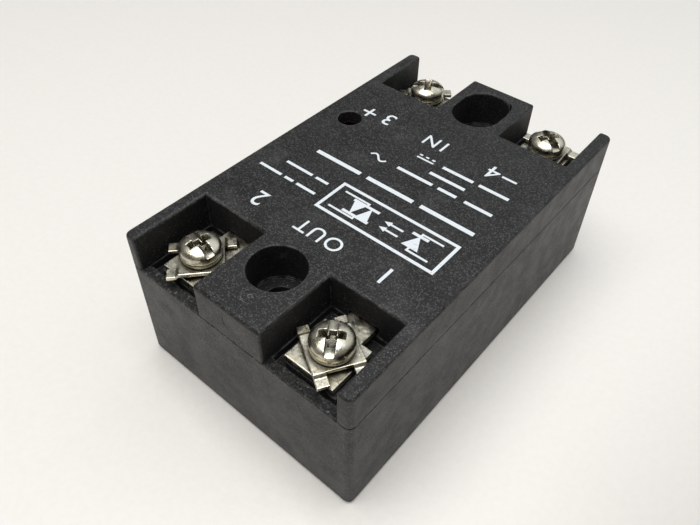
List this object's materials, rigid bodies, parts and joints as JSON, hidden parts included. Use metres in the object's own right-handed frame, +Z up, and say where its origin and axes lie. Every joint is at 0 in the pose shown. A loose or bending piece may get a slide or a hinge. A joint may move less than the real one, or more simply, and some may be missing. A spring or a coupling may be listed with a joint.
{
  "type": "solid state relay",
  "caption": "Black rectangular solid state relay with screw terminals in open pockets at both ends, fixing holes on its centre line and a metal base for a heat sink.",
  "frame": {"origin": "centre of the underside, on the surface the relay stands on or is bolted to", "axes": "+Z up, out of the printed top; +Y along the length, from the load terminals (1, 2) to the input terminals (3, 4); +X towards terminals 1 and 4"},
  "size_m": [0.0412, 0.0654, 0.0251],
  "materials": {
    "case": "black thermoset moulding, fine matte grain",
    "aluminium": "brushed",
    "nickel": "nickel plated, slightly yellowed",
    "screw_nickel": "nickel plated, worn bright",
    "copper": "bare copper",
    "ceramic": "fired alumina",
    "resin": "cast resin",
    "epoxy": "moulded epoxy",
    "board": "solder mask",
    "resistor": "lacquer",
    "film_capacitor": "dipped resin",
    "varistor": "dipped resin",
    "capacitor_sleeve": "shrink sleeve",
    "lamp": "clear red epoxy"
  },
  "bodies": {
    "case": {"bias_resistor": "resistor", "ceramic_substrate": "ceramic", "circuit_board": "board", "filter_capacitor": "capacitor_sleeve", "heat_sink_plate": "aluminium", "indicator_led": "lamp", "input_resistor": "resistor", "input_transistor": "epoxy", "led_spacer": "epoxy", "lower_case": "case", "photocoupler": "epoxy", "potting_resin": "resin", "protection_diode": "epoxy", "snubber_capacitor": "film_capacitor", "snubber_resistor": "resistor", "terminal_nut_1": "nickel", "terminal_nut_2": "nickel", "terminal_nut_3": "nickel", "terminal_nut_4": "nickel", "terminal_plate_1": "nickel", "terminal_plate_2": "nickel", "terminal_plate_3": "nickel", "terminal_plate_4": "nickel", "triac_body": "epoxy", "triac_lead_1": "nickel", "triac_lead_2": "nickel", "triac_lead_3": "nickel", "triac_tab": "copper", "upper_cover": "case", "varistor": "varistor"},
    "clamp_1": {"clamp_washer_1": "nickel", "spring_washer_1": "nickel"},
    "screw_1": {"terminal_screw_1": "screw_nickel"},
    "clamp_2": {"clamp_washer_2": "nickel", "spring_washer_2": "nickel"},
    "screw_2": {"terminal_screw_2": "screw_nickel"},
    "clamp_3": {"clamp_washer_3": "nickel", "spring_washer_3": "nickel"},
    "screw_3": {"terminal_screw_3": "screw_nickel"},
    "clamp_4": {"clamp_washer_4": "nickel", "spring_washer_4": "nickel"},
    "screw_4": {"terminal_screw_4": "screw_nickel"}
  },
  "joints": [
    {"name": "clamp_1_lift", "type": "slide", "parent": "case", "child": "clamp_1", "axis": [0, 0, 1], "range_m": [0, 0.0018]},
    {"name": "screw_1_turn", "type": "hinge", "parent": "clamp_1", "child": "screw_1", "pos_m": [0.012, -0.0263, 0.0222], "axis": [0, 0, 1], "range_deg": [0, 1080]},
    {"name": "clamp_2_lift", "type": "slide", "parent": "case", "child": "clamp_2", "axis": [0, 0, 1], "range_m": [0, 0.0018]},
    {"name": "screw_2_turn", "type": "hinge", "parent": "clamp_2", "child": "screw_2", "pos_m": [-0.012, -0.0263, 0.0222], "axis": [0, 0, 1], "range_deg": [0, 1080]},
    {"name": "clamp_3_lift", "type": "slide", "parent": "case", "child": "clamp_3", "axis": [0, 0, 1], "range_m": [0, 0.0018]},
    {"name": "screw_3_turn", "type": "hinge", "parent": "clamp_3", "child": "screw_3", "pos_m": [-0.012, 0.0267, 0.0222], "axis": [0, 0, 1], "range_deg": [0, 1080]},
    {"name": "clamp_4_lift", "type": "slide", "parent": "case", "child": "clamp_4", "axis": [0, 0, 1], "range_m": [0, 0.0018]},
    {"name": "screw_4_turn", "type": "hinge", "parent": "clamp_4", "child": "screw_4", "pos_m": [0.012, 0.0267, 0.0222], "axis": [0, 0, 1], "range_deg": [0, 1080]}
  ],
  "couplings": [
    {"joint": "screw_1_turn", "follows": "clamp_1_lift", "rad_per_m": 10472},
    {"joint": "screw_2_turn", "follows": "clamp_2_lift", "rad_per_m": 10472},
    {"joint": "screw_3_turn", "follows": "clamp_3_lift", "rad_per_m": 10472},
    {"joint": "screw_4_turn", "follows": "clamp_4_lift", "rad_per_m": 10472}
  ]
}
